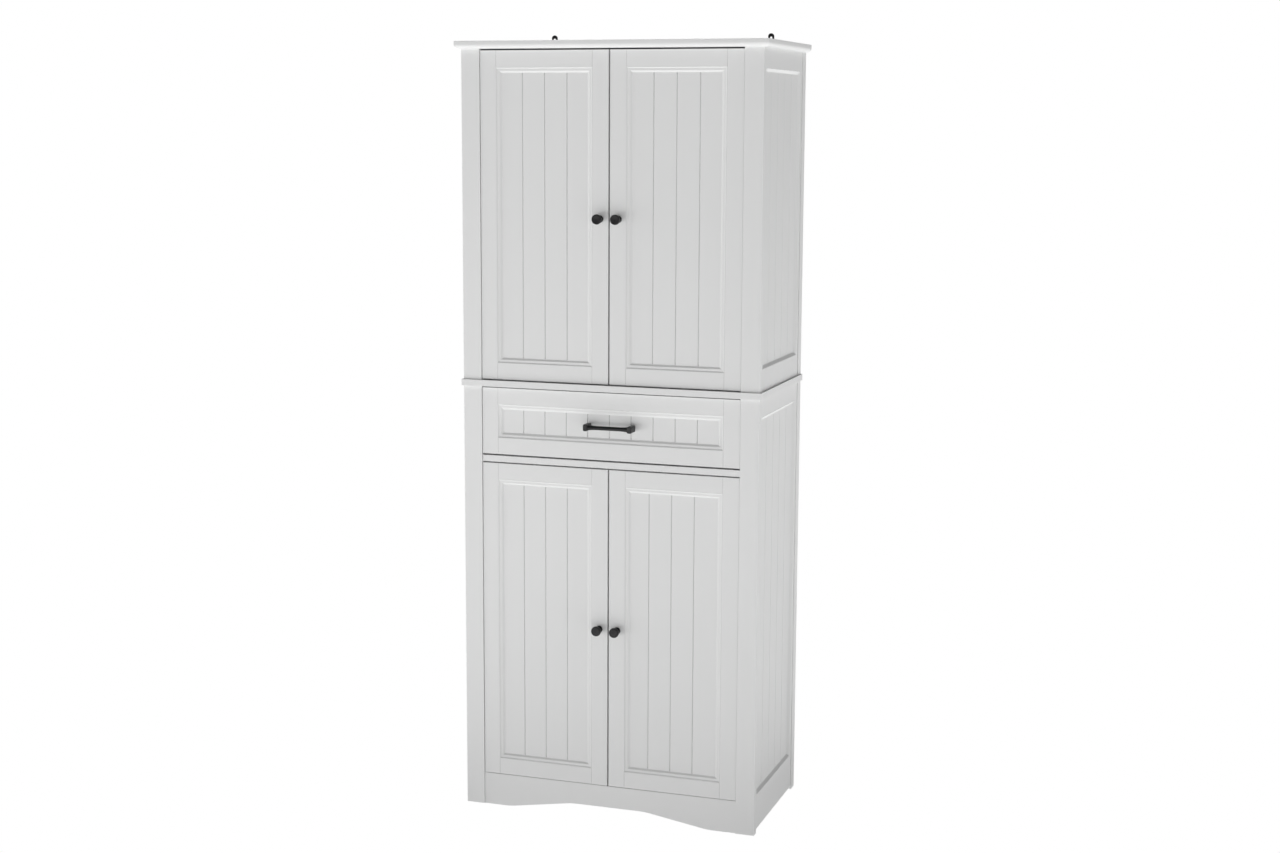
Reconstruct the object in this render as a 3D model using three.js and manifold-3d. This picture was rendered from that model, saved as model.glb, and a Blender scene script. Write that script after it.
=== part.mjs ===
// Two-part pantry cabinet: an upper unit with two doors on a base unit with a drawer and two doors.
// Millimetres, +Z up, the front faces -Y. While the pieces are made, y = 0 is the front face of the
// corner posts and x = 0 is the middle. The last step moves the origin to the middle of the footprint.

import * as THREE from 'three';
import { mergeVertices } from 'three/addons/utils/BufferGeometryUtils.js';
import Module from 'manifold-3d';

const wasm = await Module();
wasm.setup();

// ---------------------------------------------------------------- driving dimensions

const height = 1830;            // floor to the top face of the top board
const width = 726;              // over the corner posts
const depth = 377;              // front posts' front face to rear posts' back face
const board = 15;               // carcass boards and shelves
const waistTop = 1043;          // top face of the board between the two units
const deckTop = 863;            // top face of the board under the drawer
const skirtTop = 78;            // top edge of the arched skirt and of the bottom board

const topBoard = { thickness: 18, overhang: 13, lowerRadius: 10, upperRadius: 2 };
const waistOverhang = 4.5;

const frontPost = { width: 45, depth: 20 };
const rearPost = { width: 20, depth: 29 };
const frontSetback = 2.5;       // doors, drawer front, deck and skirt stand behind the posts' faces
const panelSetback = 1;         // side panels stand inside the posts' outer faces
const panelRearGap = 1.2;       // joint line between a side panel and its rear post
const sideLift = 8;             // the lower side panels end this far above the floor
const fit = 0.3;                // clearance round a piece let into its neighbour

const backPanel = { thickness: 4, inset: 7, let: 5 };
const shelf = { clearance: 1, front: 36,
  levels: { upper_shelf_low: 1284, upper_shelf_high: 1546, lower_shelf: 452 } };

const doorThickness = 16;
const gap = { underTop: 3.5, above: 3, below: 2.5, belowDrawer: 3.8, aboveSkirt: 1, side: 1, meeting: 3.6 };
const groove = { width: 2.4, depth: 1.4, doorPitch: 54.8, drawerPitch: 53.5, sidePitch: 59.3 };
const lowerRightGrooveShift = -6;   // this door's planks start nearer its meeting stile

// Flat margins round the sunk field of each kind of board, and the run of its sloping edge.
const doorFrame = { left: 39.5, right: 39.5, top: 39, bottom: 39.5, slope: 13, recess: 5.5 };
const sideFrame = { left: 3, right: 16, slope: 11, recess: 5.5 };
const upperSideFrame = { ...sideFrame, top: 46, bottom: 51.5 };
const lowerSideFrame = { ...sideFrame, top: 43.5, bottom: 83.5 };

const arch = { rise: 25.4, footFromMiddle: 250, crownFromMiddle: 92, ease: 14 };

const knob = { headRadius: 11.7, headThickness: 9, neckRadius: 5, baseRadius: 8.5, baseThickness: 2,
  ease: 2, cove: 3, length: 26, fromEdge: 20.5 };
const pull = { spacing: 108, shift: 6, projection: 29, barRadius: 4.8, flareRadius: 7, flareLength: 16,
  postWidth: 11, postHeight: 16, postCorner: 3 };
const hanger = { fromMiddle: 276.5, width: 15, thickness: 2, rise: 28, foot: 16,
  eyeRadius: 3, eyeBelowTop: 10.8 };

const cup = { radius: 17.5, depth: 11.5, fromEdge: 21.5 };
const hinge = { fromDoorEnd: 84, plateThickness: 1.5, plateHeight: 46, plateWidth: 25, plateSetback: 3,
  earThickness: 2, earGap: 10.6, earRadius: 4.4, earFoot: 18, earTop: 8,
  pinRadius: 2, pinIn: 1, pinBack: 21.5 };
const link = { height: 10, halfThickness: 1.7, eyeRadius: 3.8, pinClearance: 0.3,
  path: [[1, 21.5], [10.6, 27], [20.4, 23.9], [36.6, 21.7], [33.6, 8.2]] };

const drawer = { side: 12, length: 300, boxHeight: 112, lift: 14, bottomThickness: 5, bottomLift: 10,
  bottomLet: 6, sideToSlide: 13 };
const slide = { length: 300, wall: 1.5, railHeight: 35, railDepth: 8.5,
  runnerHeight: 26, runnerDepth: 8.5, packerHeight: 45, front: 24 };

// ---------------------------------------------------------------- worked-out places

const halfWidth = width / 2;
const postInner = halfWidth - frontPost.width;
const panelOuter = halfWidth - panelSetback;
const panelInner = panelOuter - board;
const topUnderside = height - topBoard.thickness;
const waistUnderside = waistTop - board;
const deckUnderside = deckTop - board;
const bottomUnderside = skirtTop - board;
const rearPostFront = depth - rearPost.depth;
const backFace = depth - backPanel.inset;
const backFront = backFace - backPanel.thickness;
const doorBack = frontSetback + doorThickness;
const doorEdge = postInner - gap.side;
const meetingEdge = gap.meeting / 2;
const doorWidth = doorEdge - meetingEdge;
const drawerBoxHalf = postInner - gap.side / 2 - drawer.sideToSlide;

const upperDoor = { bottom: waistTop + gap.below, top: topUnderside - gap.underTop };
const lowerDoor = { bottom: skirtTop + gap.aboveSkirt, top: deckUnderside - gap.above };
const drawerFace = { bottom: deckTop + gap.belowDrawer, top: waistUnderside - gap.above };
const drawerBottom = drawerFace.bottom + drawer.lift;
const drawerTop = drawerBottom + drawer.boxHeight;
const drawerRear = doorBack + fit + drawer.length;
const slideMiddle = (drawerBottom + drawerTop) / 2;

const front = Math.min(frontSetback - pull.projection, frontSetback - knob.length, -topBoard.overhang);
const rear = depth + hanger.thickness;

// ---------------------------------------------------------------- finishes

const paint = { color: 0xd9d9d6, roughness: 0.45, metalness: 0 };
const blackMetal = { color: 0x17181a, roughness: 0.38, metalness: 0.6 };
const steel = { color: 0x9b9ea2, roughness: 0.35, metalness: 0.9 };

// ---------------------------------------------------------------- shape helpers

function block(x, y, z) {
  const geometry = new THREE.BoxGeometry(x[1] - x[0], y[1] - y[0], z[1] - z[0]);
  return geometry.translate((x[0] + x[1]) / 2, (y[0] + y[1]) / 2, (z[0] + z[1]) / 2);
}

function extruded(outline, length, curveSegments) {
  const points = outline instanceof THREE.Shape ? null : outline.map(([a, b]) => new THREE.Vector2(a, b));
  const shape = points ? new THREE.Shape(points) : outline;
  return new THREE.ExtrudeGeometry(shape, { depth: length, bevelEnabled: false, curveSegments });
}

// An outline in x and y, pushed up along z.
function uprightPrism(outline, z, curveSegments = 6) {
  return extruded(outline, z[1] - z[0], curveSegments).translate(0, 0, z[0]);
}

// An outline in x and z, pushed back along y.
function facingPrism(outline, y, curveSegments = 6) {
  return extruded(outline, y[1] - y[0], curveSegments).rotateX(Math.PI / 2).translate(0, y[1], 0);
}

// An outline in y and z, pushed sideways along x.
function sidewaysPrism(outline, x, curveSegments = 6) {
  const turn = new THREE.Matrix4().set(0, 0, 1, 0, 1, 0, 0, 0, 0, 1, 0, 0, 0, 0, 0, 1);
  return extruded(outline, x[1] - x[0], curveSegments).applyMatrix4(turn).translate(x[0], 0, 0);
}

// A round bar or hole along z.
function uprightCylinder(x, y, radius, z, segments) {
  const geometry = new THREE.CylinderGeometry(radius, radius, z[1] - z[0], segments);
  return geometry.rotateX(Math.PI / 2).translate(x, y, (z[0] + z[1]) / 2);
}

// The same geometry with shared corners merged, as a closed mesh needs.
function welded(geometry) {
  const bare = new THREE.BufferGeometry();
  bare.setAttribute('position', geometry.getAttribute('position').clone());
  bare.setIndex(geometry.index ? geometry.index.clone() : null);
  return mergeVertices(bare, 1e-4);
}

function solid(geometry) {
  const { attributes, index } = welded(geometry);
  const vertProperties = new Float32Array(attributes.position.array);
  const triVerts = new Uint32Array(index.array);
  return new wasm.Manifold(new wasm.Mesh({ numProp: 3, vertProperties, triVerts }));
}

function surface(manifold) {
  const mesh = manifold.getMesh();
  const geometry = new THREE.BufferGeometry();
  const corners = new Float32Array(mesh.vertProperties);
  geometry.setAttribute('position', new THREE.BufferAttribute(corners, 3));
  geometry.setIndex(new THREE.BufferAttribute(new Uint32Array(mesh.triVerts), 1));
  return geometry;
}

function cut(base, tools) {
  return surface(tools.reduce((rest, tool) => rest.subtract(solid(tool)), solid(base)));
}

function join(pieces) {
  const [first, ...others] = pieces.map(solid);
  return surface(others.reduce((whole, next) => whole.add(next), first));
}

function overlapOf(first, second) {
  return surface(solid(first).intersect(solid(second)));
}

// The piece on the other side of x = 0. Each triangle is turned round so that it still faces out.
function mirrored(geometry) {
  const other = welded(geometry).scale(-1, 1, 1);
  const { array } = other.index;
  for (let i = 0; i < array.length; i += 3) {
    [array[i + 1], array[i + 2]] = [array[i + 2], array[i + 1]];
  }
  return other;
}

// ---------------------------------------------------------------- assembly

const cabinet = new THREE.Group();
cabinet.position.y = -(front + rear) / 2;

function add(name, geometry, finish) {
  geometry.computeVertexNormals();
  const mesh = new THREE.Mesh(geometry, new THREE.MeshStandardMaterial(finish));
  mesh.name = name;
  cabinet.add(mesh);
}

function addPair(name, rightPiece, finish) {
  add(`${name}_left`, mirrored(rightPiece), finish);
  add(`${name}_right`, rightPiece, finish);
}

// ---------------------------------------------------------------- panelled boards

function evenly(count, pitch, middle) {
  return Array.from({ length: count }, (_, i) => middle + (i - (count - 1) / 2) * pitch);
}

// A board with a sunk field of grooved planks. Its front face is at y = 0 and its lower left corner
// at x = z = 0. The field's sloping edges meet in mitred corners.
function panelledBoard(size, frame, grooves) {
  const [x0, x1] = [frame.left, size.width - frame.right];
  const [z0, z1] = [frame.bottom, size.height - frame.top];
  const across = [
    [x0, -1], [x1, -1], [x1, 0], [x1 - frame.slope, frame.recess],
    [x0 + frame.slope, frame.recess], [x0, 0],
  ];
  const upAndDown = [
    [-1, z0], [0, z0], [frame.recess, z0 + frame.slope],
    [frame.recess, z1 - frame.slope], [0, z1], [-1, z1],
  ];
  const fullHeight = uprightPrism(across, [z0 - 1, z1 + 1]);
  const fullWidth = sidewaysPrism(upAndDown, [x0 - 1, x1 + 1]);
  const field = overlapOf(fullHeight, fullWidth);
  const floor = frame.recess;
  const half = groove.width / 2;
  const grooveCuts = grooves.map((x) => uprightPrism([
    [x - half, floor - 1], [x + half, floor - 1],
    [x + half, floor], [x, floor + groove.depth], [x - half, floor],
  ], [z0 + frame.slope, z1 - frame.slope]));
  return cut(block([0, size.width], [0, size.thickness], [0, size.height]), [field, ...grooveCuts]);
}

// ---------------------------------------------------------------- top and waist boards

// The waste outside a rounded edge: a square corner less a quarter circle that touches both its sides.
function cornerWaste(radius, segments) {
  const arc = Array.from({ length: segments + 1 }, (_, i) => {
    const angle = (i / segments) * (Math.PI / 2);
    return [radius - radius * Math.sin(angle), radius - radius * Math.cos(angle)];
  });
  return [[-1, -1], [radius, -1], ...arc, [-1, radius]];
}

function roundedTopBoard() {
  const side = halfWidth + topBoard.overhang;
  const nose = -topBoard.overhang;
  const lower = cornerWaste(topBoard.lowerRadius, 6);
  const upper = cornerWaste(topBoard.upperRadius, 2).map(([out, up]) => [up, out]);
  const lowerFront = lower.map(([out, up]) => [nose + out, topUnderside + up]);
  const upperFront = upper.map(([out, down]) => [nose + out, height - down]).reverse();
  const lowerLeft = lower.map(([out, up]) => [out - side, topUnderside + up]);
  const upperLeft = upper.map(([out, down]) => [out - side, height - down]).reverse();
  const leftWaste = [lowerLeft, upperLeft].map(
    (outline) => facingPrism(outline, [nose - 1, depth + 1]),
  );
  const frontWaste = [lowerFront, upperFront].map(
    (outline) => sidewaysPrism(outline, [-side - 1, side + 1]),
  );
  const plank = block([-side, side], [nose, depth], [topUnderside, height]);
  return cut(plank, [...frontWaste, ...leftWaste, ...leftWaste.map(mirrored)]);
}

add('top_board', roundedTopBoard(), paint);

const waistHalf = halfWidth + waistOverhang;
const waistSpan = [waistUnderside, waistTop];
add('waist_board', block([-waistHalf, waistHalf], [-waistOverhang, depth], waistSpan), paint);

// ---------------------------------------------------------------- posts, side panels and backs

// Each rear post has an upright groove that takes the edge of the back panel.
const rearPostOutline = [
  [halfWidth - rearPost.width, rearPostFront], [halfWidth, rearPostFront], [halfWidth, depth],
  [halfWidth - rearPost.width, depth], [halfWidth - rearPost.width, backFace + fit],
  [halfWidth - rearPost.width + backPanel.let, backFace + fit],
  [halfWidth - rearPost.width + backPanel.let, backFront - fit],
  [halfWidth - rearPost.width, backFront - fit],
];

function sidePanel(z, frame) {
  const panelWidth = rearPostFront - panelRearGap - frontPost.depth;
  const size = { width: panelWidth, height: z[1] - z[0], thickness: board };
  const fieldMiddle = (frame.left + size.width - frame.right) / 2;
  const grooves = evenly(4, groove.sidePitch, fieldMiddle);
  const panel = panelledBoard(size, frame, grooves).rotateZ(Math.PI / 2);
  return panel.translate(panelOuter, frontPost.depth, z[0]);
}

const units = {
  upper: { posts: [waistTop, topUnderside], panel: [waistTop, topUnderside], frame: upperSideFrame },
  lower: { posts: [0, waistUnderside], panel: [sideLift, waistUnderside], frame: lowerSideFrame },
};
const backHalf = halfWidth - rearPost.width + backPanel.let - fit;

for (const [unit, { posts, panel, frame }] of Object.entries(units)) {
  addPair(`${unit}_front_post`, block([postInner, halfWidth], [0, frontPost.depth], posts), paint);
  addPair(`${unit}_rear_post`, uprightPrism(rearPostOutline, posts), paint);
  addPair(`${unit}_side_panel`, sidePanel(panel, frame), paint);
  const backSpan = [Math.max(posts[0], bottomUnderside), posts[1]];
  add(`${unit}_back_panel`, block([-backHalf, backHalf], [backFront, backFace], backSpan), paint);
}

// ---------------------------------------------------------------- boards inside and the skirt

// A board let in between the side panels, notched round the rear posts. The first corners given are
// those at its front on the right, and the left side mirrors the right.
function letInBoard(frontCorners, clearance, z) {
  const rearHalf = halfWidth - rearPost.width - clearance;
  const right = [
    ...frontCorners, [panelInner - clearance, rearPostFront - clearance],
    [rearHalf, rearPostFront - clearance], [rearHalf, backFront - clearance],
  ];
  const left = right.map(([x, y]) => [-x, y]).reverse();
  return uprightPrism([...right, ...left], z);
}

// The deck also fills the opening between the front posts.
const boardCorner = [panelInner - fit, frontPost.depth + fit];
const tongue = [[postInner - fit, frontSetback], [postInner - fit, frontPost.depth + fit]];
add('drawer_deck', letInBoard([...tongue, boardCorner], fit, [deckUnderside, deckTop]), paint);
add('bottom_board', letInBoard([boardCorner], fit, [bottomUnderside, skirtTop]), paint);

for (const [name, level] of Object.entries(shelf.levels)) {
  const corner = [panelInner - shelf.clearance, shelf.front];
  add(name, letInBoard([corner], shelf.clearance, [level, level + board]), paint);
}

// The arch is level in the middle and slopes straight down to each end, with eased bends.
function skirtShape() {
  const end = postInner - fit;
  const { rise, footFromMiddle: foot, crownFromMiddle: crown, ease } = arch;
  const eased = (ease * rise) / (foot - crown);
  const shape = new THREE.Shape();
  shape.moveTo(-end, 0);
  shape.lineTo(-foot - ease, 0);
  shape.quadraticCurveTo(-foot, 0, -foot + ease, eased);
  shape.lineTo(-crown - ease, rise - eased);
  shape.quadraticCurveTo(-crown, rise, -crown + ease, rise);
  shape.lineTo(crown - ease, rise);
  shape.quadraticCurveTo(crown, rise, crown + ease, rise - eased);
  shape.lineTo(foot - ease, eased);
  shape.quadraticCurveTo(foot, 0, foot + ease, 0);
  shape.lineTo(end, 0);
  shape.lineTo(end, skirtTop);
  shape.lineTo(-end, skirtTop);
  return shape;
}

add('arched_skirt', facingPrism(skirtShape(), [frontSetback, frontPost.depth], 5), paint);

// ---------------------------------------------------------------- doors

function hingeHeights(door) {
  return [door.bottom + hinge.fromDoorEnd, door.top - hinge.fromDoorEnd];
}

function cupHole(x, z) {
  const hole = new THREE.CylinderGeometry(cup.radius, cup.radius, cup.depth + 1, 24);
  return hole.translate(x, doorBack + 1 - (cup.depth + 1) / 2, z);
}

function rightDoor(door, grooveShift) {
  const size = { width: doorWidth, height: door.top - door.bottom, thickness: doorThickness };
  const grooves = evenly(3, groove.doorPitch, doorWidth / 2 + grooveShift);
  const panel = panelledBoard(size, doorFrame, grooves);
  const cupHoles = hingeHeights(door).map((z) => cupHole(doorEdge - cup.fromEdge, z));
  return cut(panel.translate(meetingEdge, frontSetback, door.bottom), cupHoles);
}

// A turned knob that points forwards from the door's face: a base flange, a neck and a rounded head.
function knobAt(x, z) {
  const { headRadius, headThickness, neckRadius, baseRadius, baseThickness, ease, cove, length } = knob;
  const headBack = length - headThickness;
  const profile = [
    [0, 0], [baseRadius, 0], [baseRadius, baseThickness], [neckRadius, baseThickness + cove],
    [neckRadius, headBack - cove], [headRadius - ease, headBack], [headRadius, headBack + ease],
    [headRadius, length - ease], [headRadius - ease, length], [0, length],
  ];
  const turned = new THREE.LatheGeometry(profile.map(([r, y]) => new THREE.Vector2(r, y)), 20);
  return turned.rotateX(Math.PI).translate(x, frontSetback, z);
}

const doorPairs = [['upper', upperDoor, 0], ['lower', lowerDoor, lowerRightGrooveShift]];
for (const [unit, door, grooveShift] of doorPairs) {
  add(`${unit}_left_door`, mirrored(rightDoor(door, 0)), paint);
  add(`${unit}_right_door`, rightDoor(door, grooveShift), paint);
  const knobPiece = knobAt(meetingEdge + knob.fromEdge, (door.bottom + door.top) / 2);
  addPair(`${unit}_knob`, knobPiece, blackMetal);
}

// ---------------------------------------------------------------- hinges

// Hinge outlines are drawn in a door's own frame: u inwards from its outer edge, v back from its face.
function hingePrism(outline, z) {
  const placed = outline.map(([u, v]) => [doorEdge - u, frontSetback + v]).reverse();
  return uprightPrism(placed, z);
}

function pinCylinder(radius, z, segments) {
  return uprightCylinder(doorEdge - hinge.pinIn, frontSetback + hinge.pinBack, radius, z, segments);
}

// The plate is screwed to the back of the front post. Its two ears hold the pin.
function hingePlate(z) {
  const postBack = frontPost.depth - frontSetback + fit;
  const plateBack = postBack + hinge.plateThickness;
  const plateInner = -hinge.plateSetback;
  const plateOuter = plateInner - hinge.plateWidth;
  const half = hinge.plateHeight / 2;
  const plate = hingePrism(
    [[plateOuter, postBack], [plateInner, postBack], [plateInner, plateBack], [plateOuter, plateBack]],
    [z - half, z + half],
  );
  const earBack = hinge.pinBack + hinge.earRadius;
  const ear = [
    [-hinge.earFoot, postBack], [hinge.pinIn, postBack],
    [hinge.pinIn, earBack], [-hinge.earTop, earBack],
  ];
  const inner = hinge.earGap / 2;
  const outer = inner + hinge.earThickness;
  const earPieces = [[z - outer, z - inner], [z + inner, z + outer]].flatMap(
    (span) => [hingePrism(ear, span), pinCylinder(hinge.earRadius, span, 16)],
  );
  return join([plate, ...earPieces, pinCylinder(hinge.pinRadius, [z - outer, z + outer], 12)]);
}

// A strip of even thickness along a smooth curve through the given points.
function stripOutline(points, half, steps) {
  const curve = new THREE.SplineCurve(points.map(([u, v]) => new THREE.Vector2(u, v)));
  const sides = [[], []];
  for (let i = 0; i <= steps; i += 1) {
    const { x, y } = curve.getPointAt(i / steps);
    const along = curve.getTangentAt(i / steps);
    sides[0].push([x + along.y * half, y - along.x * half]);
    sides[1].unshift([x - along.y * half, y + along.x * half]);
  }
  return [...sides[0], ...sides[1]];
}

// The cranked link turns on the plate's pin, reaches round the door's back edge and ends in the cup.
function hingeLink(z) {
  const span = [z - link.height / 2, z + link.height / 2];
  const strip = hingePrism(stripOutline(link.path, link.halfThickness, 14), span);
  const eye = pinCylinder(link.eyeRadius, span, 16);
  const bore = pinCylinder(hinge.pinRadius + link.pinClearance, [span[0] - 1, span[1] + 1], 12);
  return cut(join([strip, eye]), [bore]);
}

for (const [unit, door] of [['upper', upperDoor], ['lower', lowerDoor]]) {
  hingeHeights(door).forEach((z, i) => {
    const place = ['bottom', 'top'][i];
    addPair(`${unit}_hinge_plate_${place}`, hingePlate(z), steel);
    addPair(`${unit}_hinge_link_${place}`, hingeLink(z), steel);
  });
}

// ---------------------------------------------------------------- drawer

function drawerFront() {
  const faceHeight = drawerFace.top - drawerFace.bottom;
  const size = { width: 2 * doorEdge, height: faceHeight, thickness: doorThickness };
  const grooves = evenly(9, groove.drawerPitch, doorEdge);
  return panelledBoard(size, doorFrame, grooves).translate(-doorEdge, frontSetback, drawerFace.bottom);
}

add('drawer_front', drawerFront(), paint);

const boxFront = doorBack + fit;
const boxInner = drawerBoxHalf - drawer.side;
const bottomPlane = drawerBottom + drawer.bottomLift;

function drawerSide() {
  const plank = block([boxInner, drawerBoxHalf], [boxFront, drawerRear], [drawerBottom, drawerTop]);
  const letX = [boxInner - 1, boxInner + drawer.bottomLet];
  const letZ = [bottomPlane - fit, bottomPlane + drawer.bottomThickness + fit];
  return cut(plank, [block(letX, [boxFront - 1, drawerRear + 1], letZ)]);
}

addPair('drawer_side', drawerSide(), paint);

const bottomHalf = boxInner + drawer.bottomLet - fit;
const bottomSpan = [bottomPlane, bottomPlane + drawer.bottomThickness];
add('drawer_bottom', block([-bottomHalf, bottomHalf], [boxFront, drawerRear], bottomSpan), paint);
add('drawer_back', block([-boxInner, boxInner], [drawerRear - drawer.side, drawerRear],
  [bottomSpan[1] + fit, drawerTop]), paint);

function pullPost(x) {
  const [w, h, r] = [pull.postWidth / 2, pull.postHeight / 2, pull.postCorner];
  const shape = new THREE.Shape();
  shape.moveTo(-w + r, -h);
  shape.lineTo(w - r, -h);
  shape.quadraticCurveTo(w, -h, w, -h + r);
  shape.lineTo(w, h - r);
  shape.quadraticCurveTo(w, h, w - r, h);
  shape.lineTo(-w + r, h);
  shape.quadraticCurveTo(-w, h, -w, h - r);
  shape.lineTo(-w, -h + r);
  shape.quadraticCurveTo(-w, -h, -w + r, -h);
  return facingPrism(shape, [frontSetback - pull.projection, frontSetback], 3).translate(x, 0, 0);
}

// The bar runs between two posts and flares where it meets them.
function drawerPull() {
  const middle = (drawerFace.bottom + drawerFace.top) / 2;
  const half = pull.spacing / 2;
  const { barRadius, flareRadius, flareLength } = pull;
  const profile = [
    [0, -half], [flareRadius, -half], [barRadius, -half + flareLength],
    [barRadius, half - flareLength], [flareRadius, half], [0, half],
  ];
  const turned = new THREE.LatheGeometry(profile.map(([r, y]) => new THREE.Vector2(r, y)), 16);
  const bar = turned.rotateZ(-Math.PI / 2);
  const barFront = frontSetback - pull.projection + flareRadius + 1;
  const pieces = [bar.translate(0, barFront, 0), pullPost(-half), pullPost(half)];
  return join(pieces).translate(pull.shift, 0, middle);
}

add('drawer_pull', drawerPull(), blackMetal);

// ---------------------------------------------------------------- drawer slides

// A channel along y. Its web is at x = webX and its flanges reach towards the middle or away from it.
function channel(webX, flange, halfHeight, y) {
  const wall = slide.wall * Math.sign(flange);
  const [z0, z1] = [slideMiddle - halfHeight, slideMiddle + halfHeight];
  const outline = [
    [webX, z0], [webX + flange, z0], [webX + flange, z0 + slide.wall], [webX + wall, z0 + slide.wall],
    [webX + wall, z1 - slide.wall], [webX + flange, z1 - slide.wall], [webX + flange, z1], [webX, z1],
  ];
  return facingPrism(flange < 0 ? outline.reverse() : outline, y);
}

const slideSpan = [slide.front, slide.front + slide.length];
const railOuter = postInner - fit;
const packerZ = [slideMiddle - slide.packerHeight / 2, slideMiddle + slide.packerHeight / 2];
addPair('slide_packer', block([railOuter, panelInner], slideSpan, packerZ), paint);
const rail = channel(railOuter - fit, -slide.railDepth, slide.railHeight / 2, slideSpan);
const runner = channel(drawerBoxHalf + fit, slide.runnerDepth, slide.runnerHeight / 2, slideSpan);
addPair('slide_rail', rail, steel);
addPair('drawer_runner', runner, steel);

// ---------------------------------------------------------------- wall hangers

// A steel strap on the back edge of the top board, with a round eye that stands above it.
function wallHanger() {
  const half = hanger.width / 2;
  const roundLevel = height + hanger.rise - half;
  const shape = new THREE.Shape();
  shape.moveTo(-half, height - hanger.foot);
  shape.lineTo(half, height - hanger.foot);
  shape.lineTo(half, roundLevel);
  shape.absarc(0, roundLevel, half, 0, Math.PI, false);
  const eye = new THREE.Path();
  eye.absarc(0, height + hanger.rise - hanger.eyeBelowTop, hanger.eyeRadius, 0, 2 * Math.PI, true);
  shape.holes.push(eye);
  return facingPrism(shape, [depth, rear], 8).translate(hanger.fromMiddle, 0, 0);
}

addPair('wall_hanger', wallHanger(), blackMetal);

export default cabinet;
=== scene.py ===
"""Looks for the pantry cabinet: moulded doors and panels, hardware, finishes, light and camera.

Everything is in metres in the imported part's frame: +X to the right seen from the front, +Y to the
back, +Z up, with the origin on the floor in the middle of the footprint.
"""

import math

import bmesh
import bpy
from mathutils import Matrix, Vector


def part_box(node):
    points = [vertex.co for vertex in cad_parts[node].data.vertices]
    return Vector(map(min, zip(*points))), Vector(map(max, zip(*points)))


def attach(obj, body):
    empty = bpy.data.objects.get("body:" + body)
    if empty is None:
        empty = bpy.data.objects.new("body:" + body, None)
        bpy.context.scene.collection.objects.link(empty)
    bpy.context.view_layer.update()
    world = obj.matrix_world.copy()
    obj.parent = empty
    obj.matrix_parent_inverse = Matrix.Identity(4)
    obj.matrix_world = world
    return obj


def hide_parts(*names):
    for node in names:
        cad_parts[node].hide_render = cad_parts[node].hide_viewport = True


MM = 0.001
SIDES = {"left": -1, "right": 1}
UNITS = ("upper", "lower")

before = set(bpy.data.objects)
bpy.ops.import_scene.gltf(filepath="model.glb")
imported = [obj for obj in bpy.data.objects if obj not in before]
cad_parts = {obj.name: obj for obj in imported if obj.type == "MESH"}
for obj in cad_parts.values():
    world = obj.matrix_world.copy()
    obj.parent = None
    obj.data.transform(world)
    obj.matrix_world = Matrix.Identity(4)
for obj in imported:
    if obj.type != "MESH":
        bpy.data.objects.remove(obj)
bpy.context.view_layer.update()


# ---------------------------------------------------------------- dimensions

EASE = 0.5 * MM                 # rounding of a painted board's edges
JOINT_EASE = 0.5 * MM           # rounding where a stile and a rail meet in a hairline
FIT = 0.3 * MM                  # clearance between a screwed-on piece and its board

# Flat margins round the sunk field of each panelled board, as on the solids.
DOOR_FRAME = {"left": 39.5 * MM, "right": 39.5 * MM, "top": 39 * MM, "bottom": 39.5 * MM}
UPPER_SIDE_FRAME = {"left": 3 * MM, "right": 16 * MM, "top": 46 * MM, "bottom": 51.5 * MM}
LOWER_SIDE_FRAME = {"left": 3 * MM, "right": 16 * MM, "top": 43.5 * MM, "bottom": 83.5 * MM}
FIELD_DEPTH = 5.5 * MM

# How a board's field is cut: the moulding's width, half the width and the depth of a groove between
# planks, and the moulding's outline from the frame inwards as share of its width and share of the
# field's depth. A door has an outer step, a nearly level band and a steep inner slope. A side has
# one steep slope.
DOOR_CUT = {
    "run": 13 * MM,
    "groove_half": 1.4 * MM,
    "groove_depth": 1.7 * MM,
    "outline": (
        (0.0, 0.0), (0.02, 0.01), (0.05, 0.06), (0.18, 0.27), (0.22, 0.32), (0.27, 0.34),
        (0.54, 0.38), (0.58, 0.41), (0.62, 0.47), (0.88, 0.92), (0.93, 0.975), (1.0, 1.0),
    ),
}
SIDE_CUT = {
    "run": 11 * MM,
    "groove_half": 1.8 * MM,
    "groove_depth": 2.4 * MM,
    "outline": (
        (0.0, 0.0), (0.03, 0.01), (0.06, 0.04), (0.1, 0.09), (0.62, 0.86), (0.69, 0.93),
        (0.76, 0.975), (0.85, 1.0),
    ),
}

DOOR_PITCH = 54.8 * MM
DRAWER_PITCH = 53.5 * MM
SIDE_PITCH = 59.3 * MM
LOWER_RIGHT_SHIFT = -6 * MM     # its grooves sit to the left of the door's middle

TOP_LOWER_RADIUS = 10 * MM
TOP_UPPER_RADIUS = 2 * MM

# Radius and height of the screw heads.
CUP_SCREW = (3.4 * MM, 1.2 * MM)
HANDLE_SCREW = (4 * MM, 2 * MM)
PLATE_SCREW = (3.6 * MM, 1.5 * MM)
SLIDE_SCREW = (3.2 * MM, 1.1 * MM)

CUP_RADIUS = 17.5 * MM
CUP_DEPTH = 11.5 * MM
CUP_FROM_EDGE = 21.5 * MM
HINGE_FROM_DOOR_END = 84 * MM


# ---------------------------------------------------------------- finishes

NOISE_SPAN = (0.3, 0.7)         # where nearly all values of a noise lie
# Painted shade in a piece's own narrow grooves, taken from how closed in each point is.
CREVICE_REACH = 6 * MM
CREVICE_SAMPLES = 8
CREVICE_SPAN = (0.25, 0.55)     # openness over which a crevice goes from dark to plain
CREVICE_SHADE = 0.05            # share of the colour that is left at its darkest
BRUSH_PULL = 0.04               # how much coarser the paint's marks are along the board


def nodes_and_links(material):
    return material.node_tree.nodes, material.node_tree.links


def new_material(name, values):
    """A Principled material whose uniform values are set straight on the shader."""
    material = bpy.data.materials.new(name)
    material.use_nodes = True
    shader = material.node_tree.nodes["Principled BSDF"]
    for socket, value in values.items():
        shader.inputs[socket].default_value = value
    return material, shader


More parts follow.
